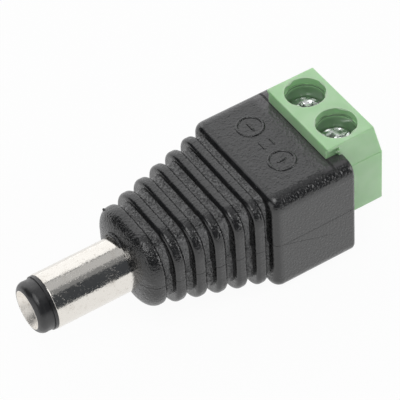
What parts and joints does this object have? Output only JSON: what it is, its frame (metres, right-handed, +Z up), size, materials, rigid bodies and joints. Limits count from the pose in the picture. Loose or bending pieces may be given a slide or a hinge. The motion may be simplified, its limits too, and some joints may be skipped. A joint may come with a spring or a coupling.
{
  "type": "dc barrel plug",
  "caption": "Straight dc barrel plug in a ribbed over-moulded housing, with a screw clamp block behind it for bare wires.",
  "frame": {"origin": "on the barrel's axis, in the plane where the barrel leaves the housing's nose", "axes": "-X along the barrel to its tip, +X to the wire entries, +Z up to the screw heads, -Y side is the positive pole"},
  "size_m": [0.036, 0.014, 0.0132],
  "materials": {
    "housing_plastic": "satin, fine grain",
    "block_plastic": "satin",
    "sleeve_nickel": "nickel plated",
    "tip_plastic": "satin",
    "contact_nickel": "nickel plated",
    "washer_plastic": "matte",
    "tag_brass": "nickel plated",
    "bar_nickel": "nickel plated",
    "conductor_metal": "drawn",
    "insulation_red": "matte",
    "insulation_black": "matte",
    "solder": "satin",
    "cage_nickel": "nickel plated",
    "screw_steel": "nickel plated"
  },
  "bodies": {
    "plug": {"housing": "housing_plastic", "terminal_block": "block_plastic", "barrel_sleeve": "sleeve_nickel", "tip_insulator": "tip_plastic", "centre_contact": "contact_nickel", "rear_insulator": "washer_plastic", "sleeve_tag": "tag_brass", "contact_bar_positive": "bar_nickel", "contact_bar_negative": "bar_nickel", "link_conductor_positive": "conductor_metal", "link_conductor_negative": "conductor_metal", "link_insulation_positive": "insulation_red", "link_insulation_negative": "insulation_black", "bar_solder_positive": "solder", "bar_solder_negative": "solder", "cup_solder": "solder", "tag_solder": "solder"},
    "screw_positive": {"clamp_screw_positive": "screw_steel"},
    "cage_positive": {"clamp_cage_positive": "cage_nickel"},
    "screw_negative": {"clamp_screw_negative": "screw_steel"},
    "cage_negative": {"clamp_cage_negative": "cage_nickel"}
  },
  "joints": [
    {"name": "screw_turn_positive", "type": "hinge", "parent": "plug", "child": "screw_positive", "pos_m": [0.02262, -0.00254, 0.004], "axis": [0, 0, -1], "range_deg": [0, 1281]},
    {"name": "cage_rise_positive", "type": "slide", "parent": "plug", "child": "cage_positive", "axis": [0, 0, 1], "range_m": [0, 0.0016]},
    {"name": "screw_turn_negative", "type": "hinge", "parent": "plug", "child": "screw_negative", "pos_m": [0.02262, 0.00254, 0.004], "axis": [0, 0, -1], "range_deg": [0, 1281]},
    {"name": "cage_rise_negative", "type": "slide", "parent": "plug", "child": "cage_negative", "axis": [0, 0, 1], "range_m": [0, 0.0016]}
  ],
  "couplings": [
    {"joint": "screw_turn_positive", "follows": "cage_rise_positive", "rad_per_m": 13963},
    {"joint": "screw_turn_negative", "follows": "cage_rise_negative", "rad_per_m": 13963}
  ]
}
